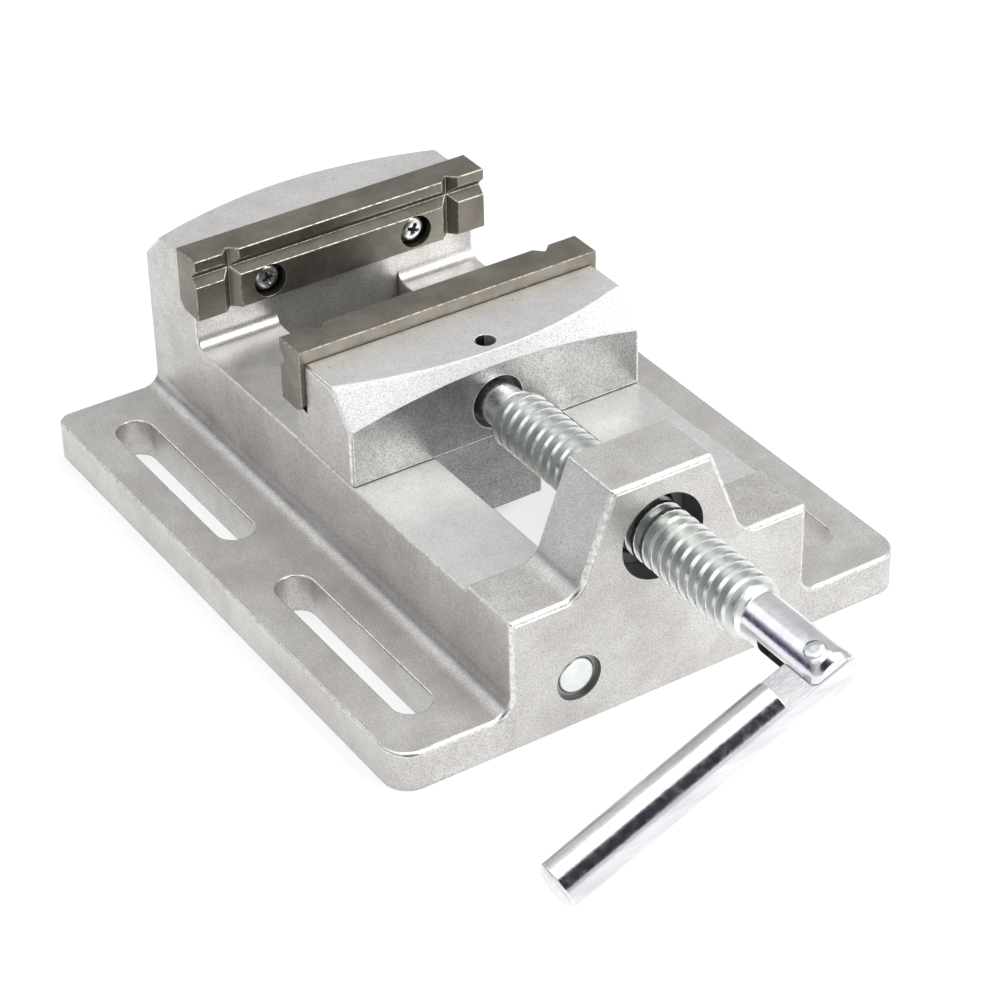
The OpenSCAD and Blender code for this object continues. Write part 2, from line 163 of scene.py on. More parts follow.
def loft(name, rings):
    """A closed solid through rings of points, each with the same number of points."""
    bm = bmesh.new()
    rows = [[bm.verts.new(p) for p in ring] for ring in rings]
    count = len(rows[0])
    for a, b in zip(rows, rows[1:]):
        for i in range(count):
            j = (i + 1) % count
            bm.faces.new((a[i], a[j], b[j], b[i]))
    bm.faces.new(rows[0])
    bm.faces.new(rows[-1])
    return new_piece(name, bm)


def prism(name, outline, low, high, axis="Z", taper=1.0):
    """An outline swept from low to high along an axis. The outline's two axes are the others, in order."""
    place = SWEEP[axis]
    return loft(name, [[place(u * s, v * s, w) for u, v in outline]
                       for w, s in ((low, 1.0), (high, taper))])


def block(name, low, high):
    """A box between two corners."""
    outline = [(low[0], low[1]), (high[0], low[1]), (high[0], high[1]), (low[0], high[1])]
    return prism(name, outline, low[2], high[2])


def arc(u, v, r, start, end, steps):
    """Points on an arc, with its angles in degrees."""
    turn = [math.radians(start + (end - start) * i / steps) for i in range(steps + 1)]
    return [(u + r * math.cos(a), v + r * math.sin(a)) for a in turn]


def circle(r, u=0.0, v=0.0, steps=64):
    """A full circle of points, without a repeated end."""
    return arc(u, v, r, 0, 360 - 360 / steps, steps - 1)


def lathe(name, profile, at=(0, 0, 0), axis="Z", steps=64):
    """A turned solid: profile is a list of (radius, distance along the axis)."""
    place = SWEEP[axis]
    rings = [[Vector(place(u, v, w)) + Vector(at) for u, v in circle(r, steps=steps)]
             for r, w in profile]
    return loft(name, rings)


def rounded_path(corners, steps=4):
    """A closed path through (u, v, radius) corners, where a radius of 0 keeps the corner sharp."""
    path = []
    for i, (u, v, r) in enumerate(corners):
        here = Vector((u, v))
        if r == 0:
            path.append((u, v))
            continue
        before = (Vector(corners[i - 1][:2]) - here).normalized()
        after = (Vector(corners[(i + 1) % len(corners)][:2]) - here).normalized()
        half = before.angle(after) / 2
        centre = here + (before + after).normalized() * (r / math.sin(half))
        start = here + before * (r / math.tan(half)) - centre
        end = here + after * (r / math.tan(half)) - centre
        sweep = start.angle(end)
        for k in range(steps + 1):
            t = k / steps
            point = (start * math.sin((1 - t) * sweep) + end * math.sin(t * sweep)) / math.sin(sweep)
            path.append(tuple(centre + point))
    return path


def combine(piece, tool, operation):
    """One boolean step. The tool is used up."""
    step = piece.modifiers.new("step", "BOOLEAN")
    step.operation = operation
    step.solver = "EXACT"
    step.object = tool
    graph = bpy.context.evaluated_depsgraph_get()
    old = piece.data
    piece.data = bpy.data.meshes.new_from_object(piece.evaluated_get(graph))
    piece.modifiers.clear()
    bpy.data.meshes.remove(old)
    bpy.data.objects.remove(tool)
    return piece


def add(piece, *tools):
    """Joins tools to a piece, one by one."""
    for tool in tools:
        combine(piece, tool, "UNION")
    return piece


def cut(piece, *tools):
    """Cuts tools out of a piece, one by one."""
    for tool in tools:
        combine(piece, tool, "DIFFERENCE")
    return piece


def join(name, pieces):
    """Several separate solids as one object."""
    bm = bmesh.new()
    for piece in pieces:
        bm.from_mesh(piece.data)
        bpy.data.objects.remove(piece)
    mesh = bpy.data.meshes.new(name)
    bm.to_mesh(mesh)
    bm.free()
    joined = bpy.data.objects.new(name, mesh)
    bpy.context.scene.collection.objects.link(joined)
    return joined


def applied(piece):
    """Replaces a piece's mesh by what its modifiers make of it."""
    graph = bpy.context.evaluated_depsgraph_get()
    old = piece.data
    piece.data = bpy.data.meshes.new_from_object(piece.evaluated_get(graph))
    piece.modifiers.clear()
    bpy.data.meshes.remove(old)
    return piece


def soften(piece, width, segments=3, sharper=28, worn=True):
    """Rounds the edges that turn by more than `sharper` degrees.

    width is millimetres, or a function of an edge's middle and of whether it is convex. Where worn is
    true, the rounded strips take the piece's second material, which is the worn one."""
    bm = bmesh.new()
    bm.from_mesh(piece.data)
    bmesh.ops.remove_doubles(bm, verts=bm.verts, dist=WELD_GAP * MM)
    bmesh.ops.dissolve_limit(bm, angle_limit=math.radians(FLAT_TURN), verts=bm.verts, edges=bm.edges)
    bmesh.ops.dissolve_degenerate(bm, dist=SLIVER * MM, edges=bm.edges)
    bm.normal_update()
    layer = bm.edges.layers.float.new("bevel_weight_edge")
    chosen = []
    for edge in bm.edges:
        if len(edge.link_faces) == 2 and edge.calc_face_angle() > math.radians(sharper):
            middle = (edge.verts[0].co + edge.verts[1].co) / 2 / MM
            chosen.append((edge, width(middle, edge.is_convex) if callable(width) else width))
    widest = max(w for _, w in chosen)
    for edge, w in chosen:
        edge[layer] = w / widest
    bm.to_mesh(piece.data)
    bm.free()
    # the bevel can only use a second material where there is a second slot
    while len(piece.data.materials) < 2:
        piece.data.materials.append(None)
    bevel = piece.modifiers.new("edges", "BEVEL")
    bevel.limit_method = "WEIGHT"
    bevel.width = widest * MM
    bevel.segments = segments
    bevel.use_clamp_overlap = False
    bevel.miter_outer = "MITER_ARC"
    bevel.material = ON_EDGE if worn else -1
    applied(piece)
    piece.data.polygons.foreach_set("use_smooth", [True] * len(piece.data.polygons))
    piece.data.set_sharp_from_angle(angle=math.radians(SHARP_TURN))
    flat = piece.modifiers.new("flat", "WEIGHTED_NORMAL")
    flat.weight = 100
    flat.keep_sharp = True
    return applied(piece)


def region_paint(piece, rule):
    """Gives each face the material number that rule says, from its middle in millimetres and its normal."""
    for face in piece.data.polygons:
        face.material_index = rule(face.center / MM, face.normal, face.material_index)


def dress(piece, body, slot, materials, *replaced):
    """Gives a piece its materials and body, and hides the CAD nodes that it stands for. slot is not used."""
    # clearing the materials also clears the faces' numbers, so they are kept and put back
    numbers = [face.material_index for face in piece.data.polygons]
    piece.data.materials.clear()
    for material in materials:
        piece.data.materials.append(material)
    piece.data.polygons.foreach_set("material_index", numbers)
    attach(piece, body)
    if replaced:
        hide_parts(*replaced)
    return piece


# ================================================================ materials
class Paint:
    """A node material built around one Principled shader, in object coordinates."""

    def __init__(self, name, colour, roughness, metallic=1.0):
        self.material = bpy.data.materials.new(name)
        self.material.use_nodes = True
        self.tree = self.material.node_tree
        self.shader = self.tree.nodes["Principled BSDF"]
        self.shader.inputs["Base Color"].default_value = (*colour, 1)
        self.shader.inputs["Roughness"].default_value = roughness
        self.shader.inputs["Metallic"].default_value = metallic
        self.place = self.tree.nodes.new("ShaderNodeTexCoord").outputs["Object"]

    def link(self, a, b):
        """Joins an output to an input."""
        self.tree.links.new(a, b)

    def stretched(self, x, y, z):
        """Coordinates scaled along each axis, for brushed or turned marks."""
        mapping = self.tree.nodes.new("ShaderNodeMapping")
        mapping.inputs["Scale"].default_value = (x, y, z)
        self.link(self.place, mapping.inputs["Vector"])
        return mapping.outputs["Vector"]

    def noise(self, per_mm, detail=3.0, rough=0.55, where=None):
        """Noise with about per_mm cells to a millimetre."""
        node = self.tree.nodes.new("ShaderNodeTexNoise")
        node.inputs["Scale"].default_value = per_mm / MM
        node.inputs["Detail"].default_value = detail
        node.inputs["Roughness"].default_value = rough
        self.link(where or self.place, node.inputs["Vector"])
        return node.outputs["Fac"]

    def spread(self, value, low, high, to_low=0.0, to_high=1.0):
        """Maps low..high of a value to to_low..to_high, clamped."""
        node = self.tree.nodes.new("ShaderNodeMapRange")
        for name, number in zip(("From Min", "From Max", "To Min", "To Max"),
                                (low, high, to_low, to_high)):
            node.inputs[name].default_value = number
        self.link(value, node.inputs["Value"])
        return node.outputs["Result"]

    def math(self, operation, a, b):
        """The result of a sum or product, where a and b are each a number or an output."""
        node = self.tree.nodes.new("ShaderNodeMath")
        node.operation = operation
        for socket, value in zip(node.inputs, (a, b)):
            if isinstance(value, (int, float)):
                socket.default_value = value
            else:
                self.link(value, socket)
        return node.outputs["Value"]

    def mix(self, factor, a, b):
        """A colour between a and b, each a colour or an output."""
        node = self.tree.nodes.new("ShaderNodeMix")
        node.data_type = "RGBA"
        self.link(factor, node.inputs["Factor"])
        for socket, value in ((node.inputs[6], a), (node.inputs[7], b)):
            if isinstance(value, tuple):
                socket.default_value = (*value, 1)
            else:
                self.link(value, socket)
        return node.outputs[2]

    def colour(self, output, crease_shade=0.0):
        """Sets the base colour. The last argument is how much painted shade, from ambient occlusion, darkens
        corners and gaps between parts.
        """
        if crease_shade:
            # painted shade from ambient occlusion, multiplied into the colour
            shade = self.tree.nodes.new("ShaderNodeAmbientOcclusion")
            shade.samples = 6
            shade.inputs["Distance"].default_value = CREASE_SHADE_REACH * MM
            open_sky = self.spread(shade.outputs["AO"], 0.25, 0.85, 1 - crease_shade, 1.0)
            scale = self.tree.nodes.new("ShaderNodeVectorMath")
            scale.operation = "SCALE"
            self.link(output, scale.inputs[0])
            self.link(open_sky, scale.inputs["Scale"])
            output = scale.outputs["Vector"]
        self.link(output, self.shader.inputs["Base Color"])
        return self

    def roughness(self, output):
        """Sets the roughness."""
        self.link(output, self.shader.inputs["Roughness"])
        return self

    def bump(self, height, depth_mm, strength=1.0):
        """Adds a bump layer on top of those before."""
        node = self.tree.nodes.new("ShaderNodeBump")
        node.inputs["Strength"].default_value = strength
        node.inputs["Distance"].default_value = depth_mm * MM
        self.link(height, node.inputs["Height"])
        normal = self.shader.inputs["Normal"]
        if normal.is_linked:
            self.link(normal.links[0].from_socket, node.inputs["Normal"])
        self.link(node.outputs["Normal"], normal)
        return self


def cast_paint(name, dark, light, rough, grain_mm, grain_depth, pepper=0.75, metallic=0.85):
    """As-cast or blasted aluminium: cloudy tone, peppery grain, a few dark specks.

    grain_mm and grain_depth are a grain's size and height in millimetres. pepper is how dark the
    darkest grains are, as a share of the tone around them."""
    paint = Paint(name, light, rough, metallic)
    clouds = paint.spread(paint.noise(0.055, 5, 0.65), 0.35, 0.65)
    grain = paint.noise(1 / grain_mm, 3, 0.65)
    grains = paint.spread(grain, 0.36, 0.56)
    smooth = paint.mix(clouds, dark, light)
    rough_tone = paint.mix(clouds, tuple(c * pepper for c in dark), tuple(c * pepper for c in light))
    tone = paint.mix(grains, rough_tone, smooth)
    specks = paint.spread(paint.noise(0.8, 3, 0.6), 0.66, 0.74)
    # the 0.6 is painted shade in corners and gaps between parts
    paint.colour(paint.mix(specks, tone, tuple(c * 0.55 for c in dark)), 0.6)
    paint.roughness(paint.spread(paint.noise(0.25, 4, 0.6), 0.3, 0.7, rough - 0.06, rough + 0.08))
    paint.bump(grain, grain_depth)
    paint.bump(paint.noise(0.12, 2, 0.5), grain_depth * 3, 0.5)
    return paint.material


def worn_paint(name, colour, dull, rough):
    """Edges rubbed bright, with the dull surface left in patches."""
    paint = Paint(name, colour, rough)
    patches = paint.spread(paint.noise(0.7, 4, 0.65), 0.42, 0.62)
    paint.colour(paint.mix(patches, colour, dull))
    paint.roughness(paint.spread(patches, 0, 1, rough, rough + 0.16))
    paint.bump(paint.noise(1.6, 2, 0.5), 0.03)
    return paint.material


def machined_paint(name, dark, light, rough, stretch, depth=0.01):
    """Ground or milled metal: fine marks along one direction, given by the coordinates' stretch."""
    paint = Paint(name, light, rough)
    marks = paint.noise(2.2, 3, 0.6, paint.stretched(*stretch))
    patches = paint.spread(paint.noise(0.10, 4, 0.6), 0.32, 0.68)
    blend = paint.math("ADD", paint.math("MULTIPLY", marks, 0.55), paint.math("MULTIPLY", patches, 0.45))
    # the 0.5 is painted shade in corners and gaps between parts
    paint.colour(paint.mix(blend, dark, light), 0.5)
    paint.roughness(paint.spread(marks, 0.3, 0.7, rough - 0.05, rough + 0.1))
    paint.bump(marks, depth)
    return paint.material


def plated_paint(name, colour, shade, rough, stretch=(1, 1, 1), pits=0.012):
    """Bright zinc or nickel plate: nearly a mirror, with faint clouds and fine pits."""
    paint = Paint(name, colour, rough)
    clouds = paint.spread(paint.noise(0.16, 3, 0.6, paint.stretched(*stretch)), 0.35, 0.65)
    paint.colour(paint.mix(clouds, shade, colour))
    paint.roughness(paint.spread(paint.noise(0.5, 4, 0.65), 0.3, 0.7, rough, rough + 0.14))
    paint.bump(paint.noise(1.3, 4, 0.65), pits)
    return paint.material


CAST = cast_paint("cast aluminium", (0.62, 0.60, 0.58), (0.77, 0.755, 0.735), 0.36, 0.38, 0.05, 0.6, 0.8)
CAST_WORN = worn_paint("cast aluminium edge", (0.84, 0.83, 0.81), (0.60, 0.59, 0.575), 0.26)
SATIN = cast_paint("satin aluminium", (0.72, 0.71, 0.70), (0.82, 0.81, 0.80), 0.36, 0.6, 0.02, 0.84)
BAND = cast_paint("jaw band", (0.84, 0.84, 0.84), (0.92, 0.92, 0.92), 0.45, 0.40, 0.05, 0.60, 0.0)
# the moving jaw's front below the band: coarse grain, with a dark tone that is painted shade
COARSE_SHADED = cast_paint("coarse cast face painted shade", (0.32, 0.325, 0.32), (0.43, 0.435, 0.425), 0.24, 0.40, 0.08,
                    0.5, 1.0)
# bored walls: turned marks, with a dark tone that is painted shade inside the bores
BORE_SHADED = machined_paint("bored wall painted shade", (0.22, 0.22, 0.215), (0.42, 0.42, 0.41), 0.35, (1, 8, 1), 0.02)
JAW_STEEL = machined_paint("jaw steel", (0.12, 0.11, 0.092), (0.33, 0.305, 0.262), 0.40, (0.35, 1, 1), 0.03)
# the V groove's upward slopes: rougher, with a dark tone that is painted shade
JAW_GROOVE_SHADE = machined_paint("jaw steel painted groove shade", (0.055, 0.052, 0.045), (0.15, 0.14, 0.12), 0.50,
                          (0.35, 1, 1), 0.05)
JAW_WORN = worn_paint("jaw steel edge", (0.44, 0.41, 0.36), (0.22, 0.20, 0.175), 0.30)
ZINC = plated_paint("zinc plate", (0.78, 0.80, 0.81), (0.52, 0.54, 0.56), 0.16)
ZINC_WORN = worn_paint("zinc plate edge", (0.93, 0.94, 0.95), (0.7, 0.72, 0.74), 0.18)
THREAD = plated_paint("spindle zinc", (0.96, 0.98, 0.965), (0.91, 0.93, 0.915), 0.22, pits=0.003)
# crests a little brighter as painted highlight, flanks darker as painted shade
CREST_HIGHLIGHT = plated_paint("thread crest painted highlight", (0.97, 0.98, 0.97), (0.92, 0.935, 0.92), 0.22, pits=0.003)
FLANK_SHADED = plated_paint("thread flank painted shade", (0.74, 0.77, 0.75), (0.64, 0.67, 0.65), 0.26, pits=0.003)
CLEVIS = plated_paint("clevis zinc", (0.86, 0.86, 0.89), (0.74, 0.74, 0.78), 0.09, pits=0.03)
HANDLE = plated_paint("handle plate", (0.84, 0.845, 0.86), (0.66, 0.665, 0.69), 0.10, (0.15, 1, 1), 0.035)
ROD_STEEL = plated_paint("ground rod", (0.88, 0.92, 0.90), (0.78, 0.82, 0.80), 0.30)
# dull steel for the inner parts, also used as painted shade in the screws' cross recesses
DARK_STEEL_AND_RECESS_SHADE = machined_paint("dull steel and painted recess shade", (0.16, 0.16, 0.16), (0.30, 0.30, 0.295), 0.42, (1, 1, 1))
BLACK_SCREW = worn_paint("black oxide", (0.045, 0.045, 0.05), (0.02, 0.02, 0.022), 0.34)
BRONZE = machined_paint("bush bronze", (0.36, 0.22, 0.09), (0.56, 0.38, 0.17), 0.36, (1, 0.2, 1))
MILLED = machined_paint("milled aluminium", (0.48, 0.48, 0.475), (0.68, 0.68, 0.67), 0.33, (0.15, 1, 1))


# ================================================================ castings
def jaw_solid(name, half_width, outer, inward, z_low, top_edge, arc_edge):
    """A jaw with a ruled band along the outer top edge, as a loft across the jaw.

    outer is the outer face's y, and inward is +1 or -1, the way to the gripping side. top_edge is how
    far in the flat top starts, and arc_edge is how high the outer face ends. Each is a pair: at the
    jaw's middle, and at its ends."""
    rings = []
    for i in range(-JAW_SLICES, JAW_SLICES + 1):
        bow = (i / JAW_SLICES) ** 2
        top = top_edge[0] + (top_edge[1] - top_edge[0]) * bow
        height = arc_edge[0] + (arc_edge[1] - arc_edge[0]) * bow
        arc_r, top_r = 1.2 + bow, 0.6 + 3.4 * bow
        path = rounded_path([(JAW_D, z_low, 0), (0, z_low, 0), (0, height, arc_r),
                             (top, JAW_TOP, top_r), (JAW_D, JAW_TOP, 0)])
        x = half_width * i / JAW_SLICES
        rings.append([(x, outer + inward * s, z) for s, z in path])
    return loft(name, rings)


def flange_outline():
    """The flanges' outline, with its rounded corners. The front stays behind the machined patch."""
    half, front, back = HALF_BASE, FRONT + FACING_T, BACK
    f, b = FLANGE_FRONT_R, FLANGE_BACK_R
    return (arc(half - f, front + f, f, -90, 0, 16) + arc(half - b, back - b, b, 0, 90, 10)
            + arc(b - half, back - b, b, 90, 180, 10) + arc(f - half, front + f, f, 180, 270, 16))


def slot_outline(x, y, width, length):
    """A slot along Y with round ends."""
    r, run = width / 2, length / 2 - width / 2
    return arc(x, y + run, r, 0, 180, 20) + arc(x, y - run, r, 180, 360, 20)


def cove_outline(u, v, r, across=1):
    """The concave quarter between a wall, at u, and a floor, at v. It reaches 1 mm into both."""
    curve = [(u + across * (r - r * math.cos(math.radians(a))), v + r - r * math.sin(math.radians(a)))
             for a in range(0, 91, 10)]
    return curve + [(u + across * r, v - 1), (u - across, v - 1), (u - across, v + r)]


def eased(value, low, high):
    """0 below low, 1 above high, and smooth between."""
    t = min(1.0, max(0.0, (value - low) / (high - low)))
    return t * t * (3 - 2 * t)


def front_outline(inset, foot_z):
    """The front's silhouette as (x, z): shoulders, concave feet and the bearing's trapezoid."""
    side = math.atan2(BEARING_Z - SHOULDER_Z, BEARING_FOOT - BEARING_TOP)
    foot = COVE_R / math.tan((math.pi - side) / 2)
    curve = arc(BEARING_FOOT + foot, SHOULDER_Z + COVE_R, COVE_R + inset,
                270, 180 + math.degrees(math.pi / 2 - side), 8)
    x, z = curve[-1]
    top = BEARING_Z - inset
    right = [(HALF_BLOCK - inset, foot_z), (HALF_BLOCK - inset, SHOULDER_Z - inset), *curve,
             (x - (top - z) / math.tan(side), top)]
    return right + [(-x, z) for x, z in reversed(right)]


def from_axis(point):
    """Distance of a point from the spindle's axis."""
    return math.hypot(point.x, point.z - AXIS_Z)


def from_rod(point):
    """Distance of a point from the nearer guide rod's axis."""
    return math.hypot(abs(point.x) - ROD_X, point.z - ROD_Z)


def base_edge(middle, convex):
    """Rounding of the base casting's edges, in millimetres."""
    x, y, z = abs(middle.x), middle.y, middle.z
    facing = y < FRONT + 1 and (not convex or y < FRONT + FACING_T - 0.02)
    if facing or (from_axis(middle) < NUT_BORE_D / 2 + 1 and y < 0) or from_rod(middle) < ROD_EDGES_R:
        return 0.12       # machined
    if z < 1:
        return 0.4        # underside
    if x < HALF_CAVITY + 1 and z < CAVITY_Z + 1:
        return 0.3        # cavity
    if z < FLANGE_T + 1:  # flanges, wider at the front corners, where they meet the front's edges
        return FLANGE_EDGE + (FRONT_EDGE - FLANGE_EDGE) * eased(-y, -FRONT - FLANGE_FRONT_R, -FRONT - 1)
    if y < FRONT + 1.5:
        return FRONT_EDGE
    if x < HALF_SLOT + 1 and y > BACK - JAW_D - 1:
        return 0.2        # where the slot meets the fixed jaw
    return 0.6


def base_region(middle, normal, now):
    """Bored walls in the front, painted dark as shade, and satin on the rails and on the fixed jaw's top."""
    in_nut_bore = from_axis(middle) < NUT_BORE_D / 2 + 0.3 and FRONT + 1 < middle.y < 0
    in_rod_hole = from_rod(middle) < ROD_RECESS_R + 0.3 and FRONT + 0.5 < middle.y < 0
    if in_nut_bore or in_rod_hole:
        return ON_BORE_SHADED
    on_rail = normal.z > 0.99 and abs(middle.z - RAIL_Z) < 1
    if now == ON_PLAIN and (on_rail or abs(middle.z - JAW_TOP) < 0.1):
        return ON_SATIN
    return now


def base_casting():
    """The base: flanges, block with rails and cavity, fixed jaw, and front wall with the bearing."""
    front, wall, face = FRONT + FACING_T, FRONT + WALL_T, BACK - JAW_D
    solid = prism("base_body", flange_outline(), 0, FLANGE_T)
    add(solid,
        block("tool", (-HALF_BLOCK, front, 0), (HALF_BLOCK, BACK, RAIL_Z)),
        jaw_solid("tool", HALF_BLOCK, BACK, -1, RAIL_Z - JAW_ROOT, FIXED_TOP, FIXED_ARC),
        prism("tool", front_outline(0, RAIL_Z - OVER), front, wall, "Y"))
    for side in (-1, 1):
        add(solid, prism("tool", cove_outline(side * HALF_BLOCK, FLANGE_T, FILLET_R, side),
                         front, BACK, "Y"))
    add(solid,
        prism("tool", cove_outline(face, RAIL_Z, RAIL_FILLET_R, -1), -HALF_BLOCK, HALF_BLOCK, "X"),
        prism("tool", front_outline(FACING_INSET, FACING_Z), FRONT, front + 2, "Y"))
    # seat of the fixed plate, slot, cavity and clamping slots
    cut(solid,
        block("tool", (-WIDE, face - OVER, PLATE_Z), (WIDE, face - PLATE_PROUD + PLATE_T, JAW_TOP + OVER)),
        block("tool", (-HALF_SLOT, wall, -OVER), (HALF_SLOT, face, SLOT_TOP_Z)),
        block("tool", (-HALF_CAVITY, wall, -OVER), (HALF_CAVITY, face + CAVITY_UNDER_JAW, CAVITY_Z)))
    for x in (-BOLT_SLOT_X, BOLT_SLOT_X):
        for y in (-BOLT_SLOT_Y, BOLT_SLOT_Y):
            outline = slot_outline(x, y, BOLT_SLOT_W, BOLT_SLOT_L)
            cut(solid, prism("tool", outline, -OVER, FLANGE_T + OVER))
    # nut bore, and the guide rods' holes with their recesses
    cut(solid,
        lathe("tool", [(NUT_BORE_D / 2, FRONT - OVER), (NUT_BORE_D / 2, FRONT + NUT_BACK)],
              (0, 0, AXIS_Z), "Y"),
        lathe("tool", [(NUT_HOLE_D / 2, FRONT + NUT_BACK - 1), (NUT_HOLE_D / 2, wall + 1)],
              (0, 0, AXIS_Z), "Y"))
    hole_r, floor_y = ROD_D / 2 + ROD_GAP, FRONT + ROD_RECESS_DEPTH
    for x in (-ROD_X, ROD_X):
        profile = [(ROD_RECESS_R, FRONT - 1), (ROD_RECESS_R, floor_y), (hole_r, floor_y), (hole_r, wall + 1)]
        cut(solid, lathe("tool", profile, (x, 0, ROD_Z), "Y"))
    soften(solid, base_edge)
    region_paint(solid, base_region)
    return dress(solid, "base", "cast_aluminium", [CAST, CAST_WORN, SATIN, BORE_SHADED], "base_casting")


def jaw_edge(middle, convex):
    """Rounding of the moving jaw's edges. Where the small hole breaks into the bore they stay sharp."""
    if from_axis(middle) < 9 and middle.y > JAW_LOW.y + 1:
        return 0
    if math.hypot(middle.x, middle.y - GRUB_Y) < GRUB_HOLE_R + 1:
        return 0.25 if middle.z > JAW_TOP - 1 else 0
    return 1.0 if abs(middle.x) > JAW_HIGH.x - 1 and middle.y < MOVING_PLATE_LOW.y - 0.5 else 0.5


def jaw_region(middle, normal, now):
    """The bore, painted dark as shade, the satin top, the bright band along it, and the coarse face below
    the band, whose dark tone is painted shade.
    """
    # painted shade inside the bore
    if from_axis(middle) < MOUTH_R + 0.4 and middle.y > JAW_LOW.y + 0.3:
        return ON_BORE_SHADED
    if middle.z > JAW_TOP - 0.05 and normal.z > 0.99:
        return ON_SATIN
    if normal.y < -0.3 and normal.z > 0.12 and middle.z > MOVING_ARC[1] - 1:
        return ON_BAND
    # painted shade on the jaw's front below the band
    if now == ON_PLAIN and normal.y < -0.9 and middle.z < MOVING_ARC[0] + 0.5:
        return ON_COARSE_SHADED
    return now


def moving_jaw():
    """The moving jaw, with its bore and the tongue that goes down between the rails."""
    front, back = JAW_LOW.y, JAW_LOW.y + JAW_D
    z_low, half = RAIL_Z + JAW_LIFT, JAW_HIGH.x
    solid = jaw_solid("moving_jaw_body", half, front, 1, z_low, MOVING_TOP, MOVING_ARC)
    tongue, tongue_z = HALF_SLOT - TONGUE_GAP, CAVITY_Z - TONGUE_DROP
    add(solid,
        block("tool", (-tongue, TONGUE_FRONT, tongue_z), (tongue, back - 3, z_low + 1)),
        block("tool", (-tongue, back - OVER, tongue_z), (tongue, JAW_HIGH.y, RAIL_Z - 1)),
        block("tool", (-tongue, TONGUE_FRONT, JAW_LOW.z), (tongue, TONGUE_FRONT + TONGUE_T, CAVITY_Z)))
    cut(solid,
        block("tool", (-WIDE, MOVING_PLATE_LOW.y, PLATE_Z), (WIDE, back + OVER, JAW_TOP + OVER)),
        lathe("tool", [(MOUTH_R, front - OVER), (MOUTH_R, front + MOUTH_DEPTH)], (0, 0, AXIS_Z), "Y"),
        lathe("tool", [(NOSE_R, front), (NOSE_R, front + NOSE_DEPTH)], (0, 0, AXIS_Z), "Y"),
        lathe("tool", [(GRUB_HOLE_R, AXIS_Z), (GRUB_HOLE_R, JAW_TOP + OVER)], (0, GRUB_Y, 0), "Z", 40))
    soften(solid, jaw_edge)
    region_paint(solid, jaw_region)
    return dress(solid, "moving_jaw", "cast_aluminium", [CAST, CAST_WORN, SATIN, BORE_SHADED, BAND, COARSE_SHADED],
                 "moving_jaw_casting")


# ================================================================ jaw plates and screws
def from_screw(point):
    """Distance of a point from the nearer jaw screw's axis."""
    return math.hypot(abs(point.x) - SCREW_X, point.z - SCREW_Z)


def plate_edge(middle, convex):
    """Ground plates: crisp edges, finer at the screw recesses, softer along the top."""
    if from_screw(middle) < RECESS_D / 2 + 0.2:
        return 0.12
    return 0.45 if middle.z > PLATE_TOP - 0.5 else 0.3


def plate_region(middle, normal, now):
    """The upward slopes of the V groove are rougher and painted darker, as shade in the groove."""
    return ON_PAINTED_SHADE if now == ON_PLAIN and 0.3 < normal.z < 0.95 else now


def jaw_plate(name, node, body, face, inward):
    """A plate with its gripping face at y = face. inward is +1 or -1, from that face into the plate."""
    half = FIXED_PLATE_HIGH.x
    proud = 0.5                  # how far the V tools start in front of the face
    v = V_DEPTH + proud          # half the width of a V tool, whose sides are at 45 degrees

    def placed(outline):
        """An outline given by depth behind the gripping face, in the CAD frame."""
        return [(face + inward * d, z) for d, z in outline]

    profile = placed([(0, PLATE_Z), (PLATE_T - PLATE_CHAMFER, PLATE_Z), (PLATE_T, PLATE_Z + PLATE_CHAMFER),
                      (PLATE_T, PLATE_TOP), (0, PLATE_TOP)])
    solid = prism(name, profile, -half, half, "X")
    cut(solid, prism("tool", placed([(-proud, V_Z - v), (V_DEPTH, V_Z), (-proud, V_Z + v)]),
                     -half - 1, half + 1, "X"))
    mouth, bottom = face - inward * proud, face + inward * V_DEPTH
    for x in (-V_X, V_X):
        cut(solid, prism("tool", [(x - v, mouth), (x, bottom), (x + v, mouth)], PLATE_Z - 1, PLATE_TOP + 1))
    recess = [(RECESS_D / 2, face - inward), (RECESS_D / 2, face + inward * RECESS_DEPTH)]
    hole = [(SCREW_HOLE_R, face), (SCREW_HOLE_R, face + inward * (PLATE_T + 1))]
    for x in (-SCREW_X, SCREW_X):
        cut(solid,
            lathe("tool", recess, (x, 0, SCREW_Z), "Y"),
            lathe("tool", hole, (x, 0, SCREW_Z), "Y", 40))
    soften(solid, plate_edge, segments=2)
    region_paint(solid, plate_region)
    return dress(solid, body, "jaw_steel", [JAW_STEEL, JAW_WORN, JAW_GROOVE_SHADE], node)


def cross_outline(reach, half):
    """A cross for a screw's recess: four arms with round ends, which reach out by reach."""
    arm = arc(reach - half, 0, half, -60, 60, 4)
    points = []
    for turn in range(4):
        a = math.radians(90 * turn)
        points += [(x * math.cos(a) - z * math.sin(a), x * math.sin(a) + z * math.cos(a)) for x, z in arm]
        corner = math.radians(90 * turn + 45)
        points.append((half * 1.5 * math.cos(corner), half * 1.5 * math.sin(corner)))
    return points


